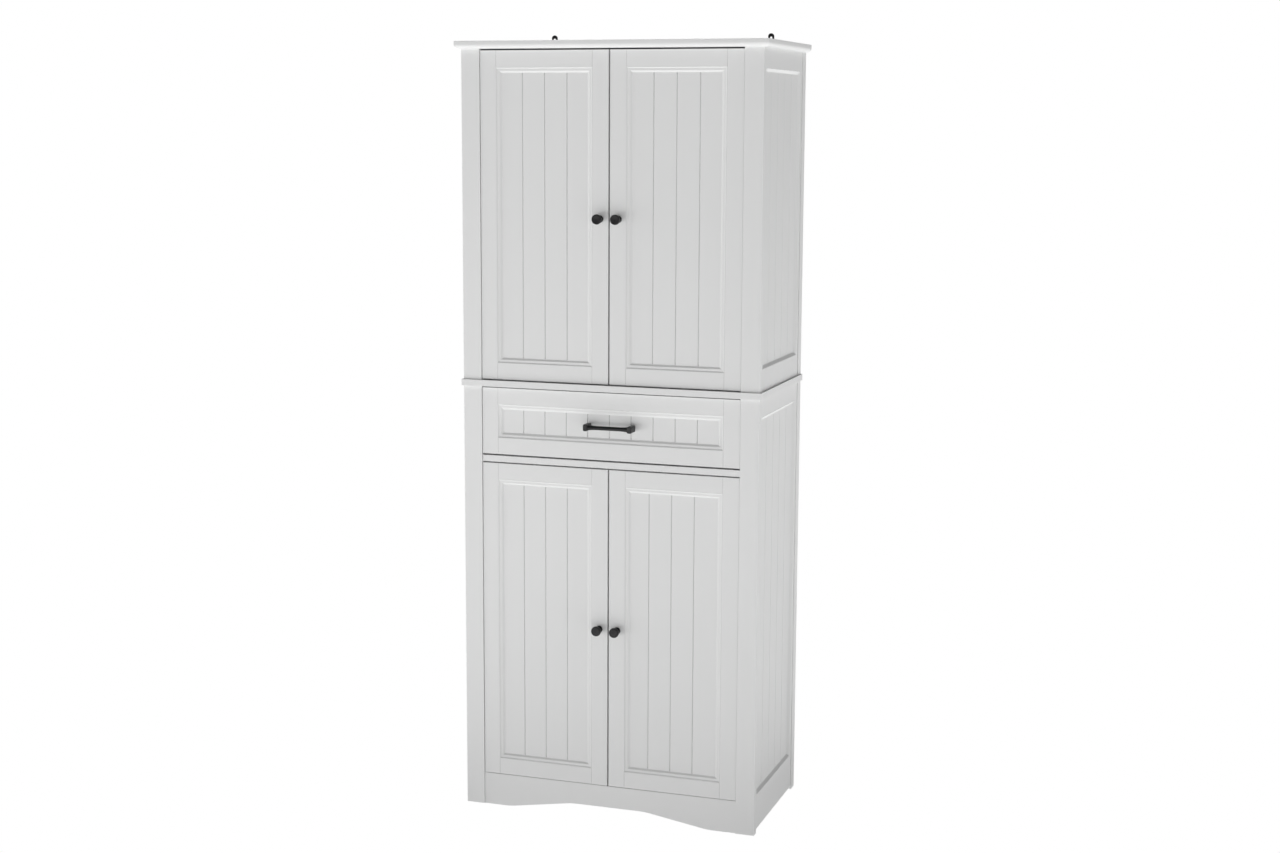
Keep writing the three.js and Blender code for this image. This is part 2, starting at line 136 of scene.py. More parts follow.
def map_range(material, source, start, end):
    """Carries a value from the span start over to the span end."""
    nodes, links = nodes_and_links(material)
    node = nodes.new("ShaderNodeMapRange")
    node.inputs["From Min"].default_value, node.inputs["From Max"].default_value = start
    node.inputs["To Min"].default_value, node.inputs["To Max"].default_value = end
    links.new(source, node.inputs["Value"])
    return node.outputs["Result"]


def noise(material, scale, stretch=(1, 1, 1), detail=3.0):
    """A noise texture in the piece's own frame, finer along an axis with a larger stretch."""
    nodes, links = nodes_and_links(material)
    place = nodes.new("ShaderNodeTexCoord")
    mapping = nodes.new("ShaderNodeMapping")
    mapping.inputs["Scale"].default_value = stretch
    texture = nodes.new("ShaderNodeTexNoise")
    texture.inputs["Scale"].default_value = scale
    texture.inputs["Detail"].default_value = detail
    links.new(place.outputs["Object"], mapping.inputs["Vector"])
    links.new(mapping.outputs["Vector"], texture.inputs["Vector"])
    return texture.outputs["Fac"]


def tint(material, shader, source, low, high):
    """Base colour that drifts between two colours with a noise."""
    nodes, links = nodes_and_links(material)
    ramp = nodes.new("ShaderNodeValToRGB")
    for element, position, colour in zip(ramp.color_ramp.elements, NOISE_SPAN, (low, high)):
        element.position = position
        element.color = (*colour, 1)
    links.new(source, ramp.inputs["Fac"])
    links.new(ramp.outputs["Color"], shader.inputs["Base Color"])


def spread_roughness(material, shader, source, low, high):
    roughness = map_range(material, source, NOISE_SPAN, (low, high))
    material.node_tree.links.new(roughness, shader.inputs["Roughness"])


def bump(material, shader, layers):
    """Stacks bumps: each layer is a height source and its height in metres."""
    nodes, links = nodes_and_links(material)
    normal = None
    for source, height in layers:
        node = nodes.new("ShaderNodeBump")
        node.inputs["Strength"].default_value = 1.0
        node.inputs["Distance"].default_value = height
        links.new(source, node.inputs["Height"])
        if normal is not None:
            links.new(normal, node.inputs["Normal"])
        normal = node.outputs["Normal"]
    links.new(normal, shader.inputs["Normal"])


def paint_crevice_shade(material, shader):
    """Painted shade: darkens the base colour in a piece's own narrow grooves, the more the piece
    closes in round them.
    """
    nodes, links = nodes_and_links(material)
    base = shader.inputs["Base Color"].links[0].from_socket
    openness = nodes.new("ShaderNodeAmbientOcclusion")
    openness.samples = CREVICE_SAMPLES
    openness.only_local = True
    openness.inputs["Distance"].default_value = CREVICE_REACH
    shade = map_range(material, openness.outputs["AO"], CREVICE_SPAN, (CREVICE_SHADE, 1.0))
    darken = nodes.new("ShaderNodeVectorMath")
    darken.operation = "SCALE"
    links.new(base, darken.inputs[0])
    links.new(shade, darken.inputs["Scale"])
    links.new(darken.outputs["Vector"], shader.inputs["Base Color"])


def painted_board(name, stretch):
    """Satin white paint over board, with the faint pull of the brush along the board's length."""
    material, shader = new_material(name, {"Specular IOR Level": 0.35})
    tint(material, shader, noise(material, 3.0), (0.775, 0.778, 0.776), (0.79, 0.792, 0.79))
    # Painted shade in the board's own grooves and joints.
    paint_crevice_shade(material, shader)
    spread_roughness(material, shader, noise(material, 40.0), 0.46, 0.54)
    grain = noise(material, 300.0, stretch, 4.0)
    orange_peel = noise(material, 700.0)
    bump(material, shader, [(grain, 0.03 * MM), (orange_peel, 0.01 * MM)])
    return material


paint_upright = painted_board("paint_upright", (1, 1, BRUSH_PULL))
paint_level = painted_board("paint_level", (BRUSH_PULL, 1, 1))
paint_deep = painted_board("paint_front_to_back", (1, BRUSH_PULL, 1))


def laminate():
    material, shader = new_material("white_laminate", {"Specular IOR Level": 0.4})
    tint(material, shader, noise(material, 5.0), (0.77, 0.77, 0.76), (0.79, 0.79, 0.782))
    # Painted shade in the laminate's own grooves.
    paint_crevice_shade(material, shader)
    spread_roughness(material, shader, noise(material, 60.0), 0.36, 0.44)
    bump(material, shader, [(noise(material, 1200.0), 0.01 * MM)])
    return material


def black_enamel():
    material, shader = new_material("black_enamel", {"Specular IOR Level": 0.28})
    tint(material, shader, noise(material, 60.0), (0.008, 0.008, 0.009), (0.014, 0.014, 0.015))
    spread_roughness(material, shader, noise(material, 150.0), 0.3, 0.42)
    bump(material, shader, [(noise(material, 1500.0), 0.012 * MM)])
    return material


def nickel(name, low, high, stretch=(1, 1, 1)):
    material, shader = new_material(name, {"Metallic": 1.0})
    tint(material, shader, noise(material, 30.0), (0.56, 0.56, 0.56), (0.62, 0.62, 0.61))
    spread_roughness(material, shader, noise(material, 400.0, stretch), low, high)
    bump(material, shader, [(noise(material, 900.0, stretch), 0.006 * MM)])
    return material


white_laminate = laminate()
black = black_enamel()
plated_steel = nickel("plated_steel", 0.24, 0.36)
rolled_steel = nickel("rolled_steel", 0.3, 0.42, (1, 0.05, 1))     # drawn along the slides


# ---------------------------------------------------------------- mesh helpers

SMOOTH_BELOW = math.radians(32)


def object_from(bm, name, materials=()):
    """Turns a bmesh into an object in the scene."""
    bmesh.ops.recalc_face_normals(bm, faces=bm.faces)
    mesh = bpy.data.meshes.new(name)
    bm.to_mesh(mesh)
    bm.free()
    for material in materials:
        mesh.materials.append(material)
    made = bpy.data.objects.new(name, mesh)
    bpy.context.scene.collection.objects.link(made)
    return made


def piece_from(bm, name, materials, body, replaces=()):
    """Turns a bmesh into a piece that rides on a body. Edges sharper than SMOOTH_BELOW stay crisp."""
    piece = object_from(bm, name, materials)
    piece.data.shade_smooth()
    piece.data.set_sharp_from_angle(angle=SMOOTH_BELOW)
    weighted = piece.modifiers.new("flat faces stay flat", "WEIGHTED_NORMAL")
    weighted.keep_sharp = True
    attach(piece, body)
    if replaces:
        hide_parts(*replaces)
    return piece


def slab(bm, place, u, d, v, ease, material=0):
    """A block with rounded edges. place maps (across, depth, up) to the part's frame."""
    verts = [bm.verts.new(place(a, b, c)) for a in u for b in d for c in v]
    quads = ((0, 1, 3, 2), (4, 6, 7, 5), (0, 4, 5, 1), (2, 3, 7, 6), (0, 2, 6, 4), (1, 5, 7, 3))
    faces = [bm.faces.new([verts[i] for i in quad]) for quad in quads]
    for face in faces:
        face.material_index = material
    edges = list({edge for face in faces for edge in face.edges})
    made = bmesh.ops.bevel(bm, geom=edges, offset=ease, segments=2, profile=0.5, affect="EDGES")
    for face in made["faces"]:
        face.material_index = material


def facing(middle, out):
    """(across, upright, out) about a point, for a fitting that stands out along one axis.

    The upright axis points up on the front and the right, and down on the back and the left.
    """
    out = Vector(out)
    across = Vector((0, 1, 0)) if abs(out.x) > 0.5 else Vector((1, 0, 0))
    upright = out.cross(across)
    return lambda a, b, c: Vector(middle) + a * across + b * upright + c * out


def arc(radius, first, last, steps, middle=(0, 0)):
    """Points on an arc from one angle to another, with both its ends."""
    angles = [first + (last - first) * i / steps for i in range(steps + 1)]
    return [(middle[0] + radius * math.cos(t), middle[1] + radius * math.sin(t)) for t in angles]


def circle(radius, segments, middle=(0, 0)):
    return arc(radius, 0, 2 * math.pi, segments, middle)[:-1]


def metres(profile):
    """A turned outline that is written in millimetres."""
    return [(radius * MM, along * MM) for radius, along in profile]


def loft(bm, rings):
    """Joins closed rings of points, one after another, into a skin with closed ends."""
    made = [[bm.verts.new(point) for point in ring] for ring in rings]
    count = len(made[0])
    for one, two in zip(made, made[1:]):
        for i in range(count):
            j = (i + 1) % count
            bm.faces.new((one[i], one[j], two[j], two[i]))
    bm.faces.new(made[0])
    bm.faces.new(made[-1])


def prism(bm, outline, ends, place):
    """A closed outline of (across, depth) pairs, drawn out between two levels."""
    loft(bm, [[place(a, b, c) for a, b in outline] for c in ends])


def turned(bm, profile, place, segments=40):
    """A turned piece from (radius, along) pairs. Its two flat ends are closed."""
    loft(bm, [
        [place(a, b, along) for a, b in circle(radius, segments)] for radius, along in profile
    ])


def plate(bm, place, loops, depths):
    """A flat plate between two depths: an outer loop of (across, upright) pairs and any holes."""
    sides = []
    for depth in depths:
        rings = [[bm.verts.new(place(a, b, depth)) for a, b in loop] for loop in loops]
        edges = [
            bm.edges.new(pair) for ring in rings for pair in zip(ring, ring[1:] + ring[:1])
        ]
        bmesh.ops.triangle_fill(bm, edges=edges, use_beauty=True)
        sides.append(rings)
    for one, two in zip(*sides):
        for i in range(len(one)):
            j = (i + 1) % len(one)
            bm.faces.new((one[i], one[j], two[j], two[i]))


def screw_head(bm, place, radius, height):
    """A low pan head with a cross recess."""
    arm, half = 0.55 * radius, 0.12 * radius    # the cross reaches to arm, and is twice half wide
    quarter = [(arm, -half), (arm, half), (half, half)]
    cross = []
    for _ in range(4):
        cross += quarter
        quarter = [(-b, a) for a, b in quarter]
    angles = [math.atan2(b, a) for a, b in cross]
    rims = [(1.0, 0.0), (1.0, 0.35), (0.88, 0.75), (0.7, 1.0)]  # shares of radius and height
    recess = [1.0, 0.35]
    rings = [
        [place(share * radius * math.cos(t), share * radius * math.sin(t), level * height)
         for t in angles]
        for share, level in rims
    ]
    rings += [[place(a, b, level * height) for a, b in cross] for level in recess]
    loft(bm, rings)


def screws(name, places, head, body):
    """Plated screw heads as one piece that rides on a body."""
    bm = bmesh.new()
    for place in places:
        screw_head(bm, place, *head)
    piece_from(bm, name, [plated_steel], body)


def eased(thing, width, least_angle):
    """Rounds, with a modifier, the edges that turn by more than least_angle degrees."""
    bevel = thing.modifiers.new("eased edges", "BEVEL")
    bevel.width = width
    bevel.segments = 2
    bevel.limit_method = "ANGLE"
    bevel.angle_limit = math.radians(least_angle)
    return bevel


def rounded(cad_node, material, width=EASE):
    """Keeps a CAD node, rounds its edges with a modifier and gives it a finish."""
    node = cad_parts[cad_node]
    node.data.materials.clear()
    node.data.materials.append(material)
    eased(node, width, 40).harden_normals = True


# ---------------------------------------------------------------- panelled boards

def evenly(count, pitch, middle):
    return [middle + (i - (count - 1) / 2) * pitch for i in range(count)]


def moulding(bm, place, u, v, cut):
    """The moulded edge of the field, mitred at its corners, as one closed ring."""
    rings = []
    for share, drop in (*cut["outline"], (0.0, 1.0)):
        across, depth = share * cut["run"], drop * FIELD_DEPTH
        corners = ((u[0] + across, v[0] + across), (u[1] - across, v[0] + across),
                   (u[1] - across, v[1] - across), (u[0] + across, v[1] - across))
        rings.append([bm.verts.new(place(a, depth, b)) for a, b in corners])
    for one, two in zip(rings, rings[1:] + rings[:1]):
        for i in range(4):
            j = (i + 1) % 4
            face = bm.faces.new((one[i], one[j], two[j], two[i]))
            face.material_index = 1 if i % 2 == 0 else 0


def planks(bm, place, u, v, cut, grooves, top, bottom):
    """Upright planks with chamfered edges that meet in V grooves."""
    half, depth = cut["groove_half"], cut["groove_depth"]
    edges = [u[0], *grooves, u[1]]
    for i, (a, b) in enumerate(zip(edges, edges[1:])):
        first, last = i == 0, i == len(edges) - 2
        left = [(a, top)] if first else [(a, top + depth), (a + half, top)]
        right = [(b, top)] if last else [(b - half, top), (b, top + depth)]
        prism(bm, [(a, bottom), *left, *right, (b, bottom)], v, place)


def bored(bm, bores):
    """The same boards with blind round holes for hinge cups. Each bore's place is on their back."""
    boards = object_from(bm, "boards")
    drill = bmesh.new()
    for place in bores:
        turned(drill, [(CUP_RADIUS, -CUP_DEPTH), (CUP_RADIUS, 1 * MM)], place)
    cutter = object_from(drill, "drill")
    boolean = boards.modifiers.new("bores", "BOOLEAN")
    boolean.operation = "DIFFERENCE"
    boolean.solver = "EXACT"
    boolean.object = cutter
    bpy.context.view_layer.update()
    result = bmesh.new()
    result.from_mesh(boards.evaluated_get(bpy.context.evaluated_depsgraph_get()).data)
    bpy.data.objects.remove(boards)
    bpy.data.objects.remove(cutter)
    return result


def panelled_board(place, size, margins, cut, grooves, bores=()):
    """Stiles, rails, moulding and planks, with grooves at the given distances across the board.

    Material 0 runs upright and material 1 runs level.
    """
    width, height, thickness = size
    u = (margins["left"], width - margins["right"])
    v = (margins["bottom"], height - margins["top"])
    whole = (0, thickness)
    bm = bmesh.new()
    slab(bm, place, (0, u[0]), whole, (0, height), JOINT_EASE)
    slab(bm, place, (u[1], width), whole, (0, height), JOINT_EASE)
    if bores:
        bm = bored(bm, bores)
    slab(bm, place, u, whole, (0, v[0]), JOINT_EASE, 1)
    slab(bm, place, u, whole, (v[1], height), JOINT_EASE, 1)
    moulding(bm, place, u, v, cut)
    planks(bm, place, u, v, cut, grooves, FIELD_DEPTH, thickness)
    return bm


# ---------------------------------------------------------------- doors and drawer front

def front_place(corner):
    """(across, depth, up) on a board that faces -Y, from its lower left corner at the front."""
    return lambda u, d, v: (corner.x + u, corner.y + d, corner.z + v)


WING_START = 8 * MM             # the flange and wall leave a way through for the hinge's link
WING_END = 31 * MM
WING_HALF = 8 * MM
FLANGE_RADIUS = 19.2 * MM
FLANGE_THICKNESS = 1 * MM
FLANGE_LIFT = 0.05 * MM         # off the door's back
CUP_WALL = 0.5 * MM
CUP_FLOOR = 0.6 * MM
CUP_CLEARANCE = 0.1 * MM        # between the cup and its bore
CUP_SCREW_FROM_MIDDLE = 24 * MM


def wing_outline(sign):
    """One wing of the cup's flange: part of a disc that narrows to a rounded end."""
    right = arc(
        FLANGE_RADIUS, math.asin(WING_START / FLANGE_RADIUS), math.acos(WING_HALF / FLANGE_RADIUS), 8,
    )
    cap = arc(WING_HALF, 0, math.pi, 12, (0, WING_END - WING_HALF))
    left = [(-a, b) for a, b in reversed(right)]
    foot = CUP_RADIUS - CUP_WALL
    rim = math.asin(WING_START / foot)
    hollow = arc(foot, math.pi - rim, rim, 16)
    return [(a, sign * b) for a, b in right + cap + left + hollow]


def wall_outline(sign):
    """One half of the cup's thin round wall."""
    inner = CUP_RADIUS - CUP_WALL
    rim = math.asin(WING_START / inner)
    outside = arc(CUP_RADIUS - CUP_CLEARANCE, rim, math.pi - rim, 20)
    inside = arc(inner, math.pi - rim, rim, 20)
    return [(a, sign * b) for a, b in outside + inside]


def hinge_cup(name, place, body):
    """The pressed cup let into the door, with a flange and two screws. Out is away from the door."""
    bm = bmesh.new()
    floor_radius = CUP_RADIUS - CUP_CLEARANCE
    floor_level = CUP_CLEARANCE - CUP_DEPTH
    floor_top = floor_level + CUP_FLOOR
    turned(bm, [(floor_radius, floor_level), (floor_radius, floor_top)], place)
    for sign in (-1, 1):
        plate(bm, place, [wall_outline(sign)], (floor_top, FLANGE_THICKNESS))
        plate(bm, place, [wing_outline(sign)], (FLANGE_LIFT, FLANGE_THICKNESS))
    piece_from(bm, f"{name}_cup", [plated_steel], body)
    screw_places = [
        facing(place(0, sign * CUP_SCREW_FROM_MIDDLE, FLANGE_THICKNESS), (0, 1, 0))
        for sign in (-1, 1)
    ]
    screws(f"{name}_cup_screws", screw_places, CUP_SCREW, body)


def door(unit, side):
    node = f"{unit}_{side}_door"
    body = f"door_{unit}_{side}"
    low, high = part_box(node)
    size = high - low
    sign = SIDES[side]
    cup_x = (high.x if sign > 0 else low.x) - sign * CUP_FROM_EDGE
    levels = {"bottom": low.z + HINGE_FROM_DOOR_END, "top": high.z - HINGE_FROM_DOOR_END}
    cups = {end: facing((cup_x, high.y, level), (0, 1, 0)) for end, level in levels.items()}
    shift = LOWER_RIGHT_SHIFT if (unit, side) == ("lower", "right") else 0
    bm = panelled_board(
        front_place(low), (size.x, size.z, size.y), DOOR_FRAME, DOOR_CUT,
        evenly(3, DOOR_PITCH, size.x / 2 + shift), list(cups.values()),
    )
    piece_from(bm, f"{node}_panelled", [paint_upright, paint_level], body, [node])
    for end, place in cups.items():
        hinge_cup(f"{unit}_hinge_{end}_{side}", place, body)
    knob_low, knob_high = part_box(f"{unit}_knob_{side}")
    middle = (knob_low + knob_high) / 2
    back_of_knob = facing((middle.x, high.y, middle.z), (0, 1, 0))
    screws(f"{unit}_knob_screw_{side}", [back_of_knob], HANDLE_SCREW, body)


for unit in UNITS:
    for side in SIDES:
        door(unit, side)


def drawer_front():
    low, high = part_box("drawer_front")
    size = high - low
    bm = panelled_board(
        front_place(low), (size.x, size.z, size.y), DOOR_FRAME, DOOR_CUT,
        evenly(9, DRAWER_PITCH, size.x / 2),
    )
    piece_from(
        bm, "drawer_front_panelled", [paint_upright, paint_level], "drawer",
        ["drawer_front"],
    )


drawer_front()


# ---------------------------------------------------------------- side panels

def side_panel(unit, side):
    node = f"{unit}_side_panel_{side}"
    low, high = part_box(node)
    size = high - low
    sign = SIDES[side]
    outer = high.x if sign > 0 else low.x
    margins = UPPER_SIDE_FRAME if unit == "upper" else LOWER_SIDE_FRAME
    middle = (margins["left"] + size.y - margins["right"]) / 2
    bm = panelled_board(
        lambda u, d, v: (outer - sign * d, low.y + u, low.z + v), (size.y, size.z, size.x),
        margins, SIDE_CUT, evenly(4, SIDE_PITCH, middle),
    )
    piece_from(
        bm, f"{node}_panelled", [paint_upright, paint_deep], "carcass", [node],
    )


for unit in UNITS:
    for side in SIDES:
        side_panel(unit, side)


# ---------------------------------------------------------------- top board

def rounded_top_board():
    """A board with a nose that is rounded round the front and both sides, and square at the back."""
    low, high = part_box("top_board")
    under, over = TOP_LOWER_RADIUS, TOP_UPPER_RADIUS
    nose = arc(under, 1.5 * math.pi, math.pi, 10, (under, low.z + under))
    nose += arc(over, math.pi, math.pi / 2, 5, (over, high.z - over))
    rings = []
    for inset, level in nose:
        left, right, front = low.x + inset, high.x - inset, low.y + inset
        corners = ((left, front), (right, front), (right, high.y), (left, high.y))
        rings.append([(x, y, level) for x, y in corners])
    bm = bmesh.new()
    loft(bm, rings)
    piece_from(bm, "top_board_rounded", [paint_level], "carcass", ["top_board"])


rounded_top_board()


# ---------------------------------------------------------------- knobs and drawer pull

# Radius and height of a knob's turned outline in millimetres, from its base on the door outwards.
KNOB_PROFILE = (
    (8.1, 0.0), (8.5, 0.4), (8.5, 1.4), (8.0, 2.0), (6.6, 2.4), (5.6, 3.2), (5.1, 4.6), (4.9, 7.0),
    (4.9, 11.0), (5.1, 13.6), (5.9, 15.3), (7.3, 16.4), (9.1, 17.1), (10.6, 17.8), (11.4, 18.8),
    (11.7, 20.2), (11.7, 23.4), (11.5, 24.5), (11.0, 25.3), (10.2, 25.8), (9.6, 26.0), (9.0, 25.9),
    (8.6, 25.5), (7.0, 25.3), (2.2, 25.2), (1.7, 24.9), (1.3, 24.4), (0.4, 24.3),
)


def knob(unit, side):
    node = f"{unit}_knob_{side}"
    low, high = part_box(node)
    place = facing(((low.x + high.x) / 2, high.y, (low.z + high.z) / 2), (0, -1, 0))
    bm = bmesh.new()
    turned(bm, metres(KNOB_PROFILE), place, 48)
    piece_from(bm, f"{node}_turned", [black], f"door_{unit}_{side}", [node])


for unit in UNITS:
    for side in SIDES:
        knob(unit, side)

PULL_SPACING = 108 * MM         # between the middles of its posts
PULL_POST = {"width": 11 * MM, "height": 16 * MM, "corner": 3 * MM}
PULL_BAR_BEHIND_FACE = 8 * MM

# How far a post's outline draws in as share of its corner radius, and share of the post's length.
PULL_POST_PROFILE = ((0, 0), (0, 0.94), (0.08, 0.975), (0.25, 0.993), (0.5, 1.0))

# Radius of the pull's bar in millimetres, and distance from its middle. It flares at its ends.
BAR_PROFILE = (
    (4.8, 0), (4.8, 26), (4.9, 32), (5.15, 38), (5.6, 43), (6.2, 47), (6.8, 49.5), (7.0, 51),
    (7.0, 54),
)


def rounded_rectangle(half_width, half_height, corner):
    """Points round a rectangle with rounded corners."""
    points = []
    for quarter, (a, b) in enumerate(((1, 1), (-1, 1), (-1, -1), (1, -1))):
        middle = (a * (half_width - corner), b * (half_height - corner))
        points += arc(corner, math.pi / 2 * quarter, math.pi / 2 * (quarter + 1), 5, middle)
    return points


def drawer_pull():
    low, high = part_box("drawer_pull")
    middle = (low + high) / 2
    length = high.y - low.y
    posts = [middle.x + sign * PULL_SPACING / 2 for sign in (-1, 1)]
    bm = bmesh.new()
    for x in posts:
        place = facing((x, high.y, middle.z), (0, -1, 0))
        rings = []
        for inset, share in PULL_POST_PROFILE:
            shrink = inset * PULL_POST["corner"]
            outline = rounded_rectangle(
                PULL_POST["width"] / 2 - shrink, PULL_POST["height"] / 2 - shrink,
                PULL_POST["corner"] - shrink,
            )
            rings.append([place(a, b, share * length) for a, b in outline])
        loft(bm, rings)
    bar_middle = (middle.x, low.y + PULL_BAR_BEHIND_FACE, middle.z)
    half = metres(BAR_PROFILE)
    whole = [(radius, -along) for radius, along in reversed(half)] + half[1:]
    turned(bm, whole, facing(bar_middle, (1, 0, 0)))
    piece_from(bm, "drawer_pull_bar", [black], "drawer", ["drawer_pull"])
    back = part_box("drawer_front")[1].y
    screw_places = [facing((x, back, middle.z), (0, 1, 0)) for x in posts]
    screws("drawer_pull_screws", screw_places, HANDLE_SCREW, "drawer")


drawer_pull()


# ---------------------------------------------------------------- wall hangers

HANGER_STRAP = 1.5 * MM         # its thickness
HANGER_EYE = 3 * MM
HANGER_EYE_BELOW_TOP = 10.8 * MM
HANGER_SCREW_UP = 8 * MM        # from the strap's foot
HANGER_SCREW = (3.6 * MM, FIT)


def wall_hanger(side):
    """A steel strap with a round top and an eye, screwed to the back edge of the top board."""
    node = f"wall_hanger_{side}"
    low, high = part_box(node)
    half = (high.x - low.x) / 2
    rise = high.z - low.z
    foot = facing(((low.x + high.x) / 2, low.y, low.z), (0, 1, 0))

    def place(across, up, out):
        return foot(across, -up, out)

    outline = [(-half, 0), (half, 0), *arc(half, 0, math.pi, 24, (0, rise - half))]
    eye = circle(HANGER_EYE, 28, (0, rise - HANGER_EYE_BELOW_TOP))
    bm = bmesh.new()
    plate(bm, place, [outline, eye], (0, HANGER_STRAP))
    screw_head(bm, facing(place(0, HANGER_SCREW_UP, HANGER_STRAP), (0, 1, 0)), *HANGER_SCREW)
    piece = piece_from(bm, f"{node}_strap", [black], "carcass", [node])
    eased(piece, 0.25 * MM, 60)


for side in SIDES:
    wall_hanger(side)


# ---------------------------------------------------------------- boards kept from the solids

THIN_EASE = 0.2 * MM            # on steel and thin panels
WAIST_EASE = 1.5 * MM

for unit in UNITS:
    for side in SIDES:
        rounded(f"{unit}_front_post_{side}", paint_upright)
        rounded(f"{unit}_rear_post_{side}", paint_upright)
    rounded(f"{unit}_back_panel", white_laminate, THIN_EASE)

rounded("waist_board", paint_level, WAIST_EASE)
rounded("drawer_deck", paint_level)
rounded("bottom_board", white_laminate)
rounded("arched_skirt", paint_level)
for shelf in ("upper_shelf_low", "upper_shelf_high", "lower_shelf"):
    rounded(shelf, white_laminate)
for node in ("drawer_back", "drawer_bottom"):
    rounded(node, white_laminate)
for side in SIDES:
    rounded(f"drawer_side_{side}", white_laminate)
    rounded(f"slide_packer_{side}", white_laminate)
    rounded(f"slide_rail_{side}", rolled_steel, THIN_EASE)
    rounded(f"drawer_runner_{side}", rolled_steel, THIN_EASE)
    for unit in UNITS:
        for end in ("bottom", "top"):
            rounded(f"{unit}_hinge_plate_{end}_{side}", plated_steel, THIN_EASE)
            rounded(f"{unit}_hinge_link_{end}_{side}", plated_steel, THIN_EASE)


# ---------------------------------------------------------------- screws, shelf pins and nails

PLATE_THICKNESS = 1.5 * MM
PLATE_SCREW_IN = 12.5 * MM      # from the plate's outer edge
PLATE_SCREW_UP = 15 * MM        # from the plate's middle
RAIL_WALL = 1.5 * MM
RAIL_SCREWS = (0.12, 0.5, 0.88)  # as share of the rail's length
PIN_RADIUS = 2.5 * MM
PIN_FROM_SHELF_ENDS = 40 * MM
NAIL_PITCH = 110 * MM
NAIL_IN = 6 * MM                # from the panel's top and bottom edges

# Radius in millimetres, and distance from the panel, of a shelf pin with its collar and of a nail.
PIN_PROFILE = ((4, 0), (4, 0.8), (2.5, 1), (2.5, 8.4), (1.875, 9))
NAIL_PROFILE = ((1.8, 0), (1.8, 0.3), (1.2, 0.5))


def plate_screws(unit, end, side):
    sign = SIDES[side]
    low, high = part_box(f"{unit}_hinge_plate_{end}_{side}")
    post_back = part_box(f"{unit}_front_post_{side}")[1].y
    outer = high.x if sign > 0 else low.x
    middle = (low.z + high.z) / 2
    places = [
        facing((outer - sign * PLATE_SCREW_IN, post_back + FIT + PLATE_THICKNESS, level), (0, 1, 0))
        for level in (middle - PLATE_SCREW_UP, middle + PLATE_SCREW_UP)
    ]
    screws(f"{unit}_plate_screws_{end}_{side}", places, PLATE_SCREW, "carcass")


def rail_screws(side):
    sign = SIDES[side]
    low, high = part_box(f"slide_rail_{side}")
    web = high.x - RAIL_WALL if sign > 0 else low.x + RAIL_WALL
    level = (low.z + high.z) / 2
    places = [
        facing((web, low.y + share * (high.y - low.y), level), (-sign, 0, 0))
        for share in RAIL_SCREWS
    ]
    screws(f"slide_screws_{side}", places, SLIDE_SCREW, "carcass")


def shelf_pins(shelf, unit):
    """Four steel pins in the side panels, under the shelf's corners."""
    low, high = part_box(shelf)
    bm = bmesh.new()
    for side, sign in SIDES.items():
        panel_low, panel_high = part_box(f"{unit}_side_panel_{side}")
        inner = panel_low.x if sign > 0 else panel_high.x
        for y in (low.y + PIN_FROM_SHELF_ENDS, high.y - PIN_FROM_SHELF_ENDS):
            place = facing((inner, y, low.z - PIN_RADIUS), (-sign, 0, 0))
            turned(bm, metres(PIN_PROFILE), place, 20)
    piece_from(bm, f"{shelf}_pins", [plated_steel], "carcass")


def back_nails(unit):
    """Small nail heads along the top and bottom of a back panel."""
    low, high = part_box(f"{unit}_back_panel")
    count = int((high.x - low.x) / NAIL_PITCH)
    bm = bmesh.new()
    for x in evenly(count, NAIL_PITCH, 0):
        for level in (low.z + NAIL_IN, high.z - NAIL_IN):
            turned(bm, metres(NAIL_PROFILE), facing((x, high.y, level), (0, 1, 0)), 16)
    piece_from(bm, f"{unit}_back_nails", [plated_steel], "carcass")


for side in SIDES:
    rail_screws(side)
    for unit in UNITS:
        for end in ("bottom", "top"):
            plate_screws(unit, end, side)
shelf_pins("upper_shelf_low", "upper")
shelf_pins("upper_shelf_high", "upper")
shelf_pins("lower_shelf", "lower")
for unit in UNITS:
    back_nails(unit)


# ---------------------------------------------------------------- floor, light and camera

FLOOR_HALF = 30
FLOOR_BELOW = 0.5 * MM
FLOOR_GLOW = (0.64, 1.12)       # close to the cabinet, and away from it
FLOOR_GLOW_CHANGE = (0.65, 1.05)        # distances from the middle between which the glow grows
SKY_LIGHT = 0.12

# Each light's name, place, point that it aims at, width and height, power and spread in degrees.
LIGHTS = (
    ("left_soft", (-4.5, -0.8, 1.5), (0, 0, 1.0), (2.5, 2.5), 45, 180),
    ("right_soft", (4.5, 0, 1.9), (0, 0, 1.1), (2.5, 2.5), 11, 180),
    ("right_front_soft", (3.6, -3.2, 1.8), (0, 0, 1.0), (2.0, 2.0), 5.5, 180),
    ("low_front", (-1.6, -3.2, 0.25), (0, 0, 1.1), (2.5, 0.4), 15, 180),
    ("top_down", (0, 0.02, 3.3), (0, 0.02, 1.8), (0.5, 0.2), 6, 90),
)


def white_to_camera(tree, shader, output):
    """Shows plain white to the camera, and keeps the given shader for all other light."""
    backdrop = tree.nodes.new("ShaderNodeEmission")
    mix = tree.nodes.new("ShaderNodeMixShader")
    path = tree.nodes.new("ShaderNodeLightPath")
    tree.links.new(path.outputs["Is Camera Ray"], mix.inputs["Fac"])
    tree.links.new(shader.outputs[0], mix.inputs[1])
    tree.links.new(backdrop.outputs["Emission"], mix.inputs[2])
    tree.links.new(mix.outputs["Shader"], output.inputs["Surface"])


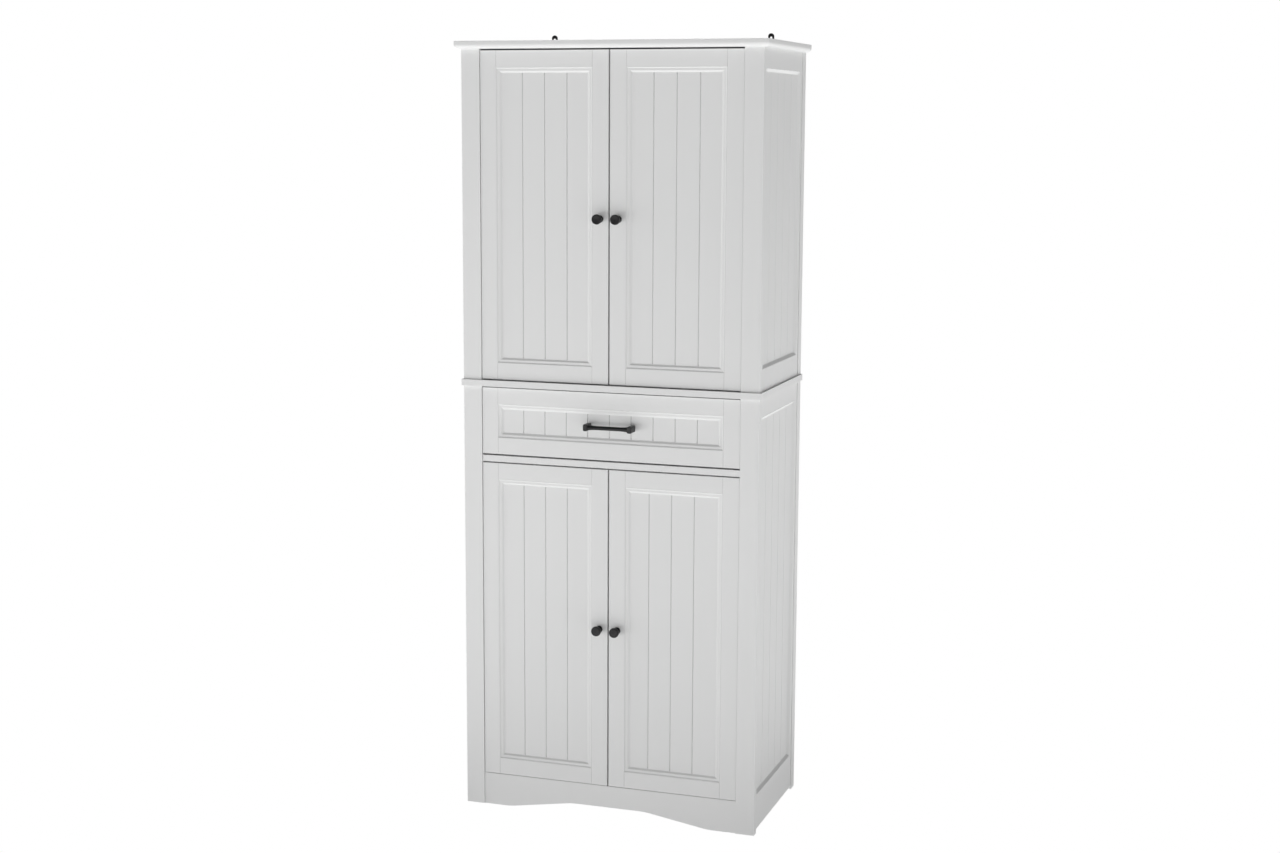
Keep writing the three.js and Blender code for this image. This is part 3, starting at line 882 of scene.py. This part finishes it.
def studio_floor():
    """A plain white floor that sends soft light up at the cabinet, and less of it close by."""
    material, shader = new_material("studio_floor", {
        "Base Color": (0.8, 0.8, 0.8, 1), "Roughness": 0.9, "Specular IOR Level": 0.0,
        "Emission Color": (1, 1, 1, 1),
    })
    tree = material.node_tree
    place = tree.nodes.new("ShaderNodeTexCoord")
    distance = tree.nodes.new("ShaderNodeVectorMath")
    distance.operation = "LENGTH"
    tree.links.new(place.outputs["Object"], distance.inputs[0])
    glow = map_range(material, distance.outputs["Value"], FLOOR_GLOW_CHANGE, FLOOR_GLOW)
    tree.links.new(glow, shader.inputs["Emission Strength"])
    white_to_camera(tree, shader, tree.nodes["Material Output"])
    bm = bmesh.new()
    corners = ((-1, -1), (1, -1), (1, 1), (-1, 1))
    bm.faces.new([bm.verts.new((FLOOR_HALF * a, FLOOR_HALF * b, -FLOOR_BELOW)) for a, b in corners])
    floor = object_from(bm, "studio_floor", [material])


def area_light(name, place, target, size, power, spread):
    light = bpy.data.lights.new(name, "AREA")
    light.shape = "RECTANGLE"
    light.size, light.size_y = size
    light.energy = power
    light.spread = math.radians(spread)
    lamp = bpy.data.objects.new(name, light)
    lamp.location = place
    lamp.rotation_euler = (Vector(target) - Vector(place)).to_track_quat("-Z", "Y").to_euler()
    lamp.visible_camera = False
    bpy.context.scene.collection.objects.link(lamp)


def studio_sky():
    """A dim even sky for lighting that looks plain white behind the cabinet."""
    world = bpy.data.worlds.new("studio")
    world.use_nodes = True
    tree = world.node_tree
    background = tree.nodes["Background"]
    background.inputs["Color"].default_value = (1, 1, 1, 1)
    background.inputs["Strength"].default_value = SKY_LIGHT
    white_to_camera(tree, background, tree.nodes["World Output"])
    bpy.context.scene.world = world


studio_floor()
studio_sky()
for light in LIGHTS:
    area_light(*light)
bpy.context.scene.view_settings.view_transform = "Standard"

# Place, turn and lens of the camera that sees the cabinet from the photograph's viewing angle.
CAMERA_PLACE = (1.517, -4.4485, 1.643)
CAMERA_YAW, CAMERA_PITCH, CAMERA_ROLL = 18.615, 8.712, 0.274
CAMERA_LENS, CAMERA_SENSOR = 55.57, 36

camera_data = bpy.data.cameras.new("camera")
camera_data.sensor_width = CAMERA_SENSOR
camera_data.lens = CAMERA_LENS
camera = bpy.data.objects.new("camera", camera_data)
camera.matrix_world = (
    Matrix.Translation(CAMERA_PLACE)
    @ Matrix.Rotation(math.radians(CAMERA_YAW), 4, "Z")
    @ Matrix.Rotation(math.radians(90 - CAMERA_PITCH), 4, "X")
    @ Matrix.Rotation(math.radians(CAMERA_ROLL), 4, "Z")
)
bpy.context.scene.collection.objects.link(camera)
bpy.context.scene.camera = camera
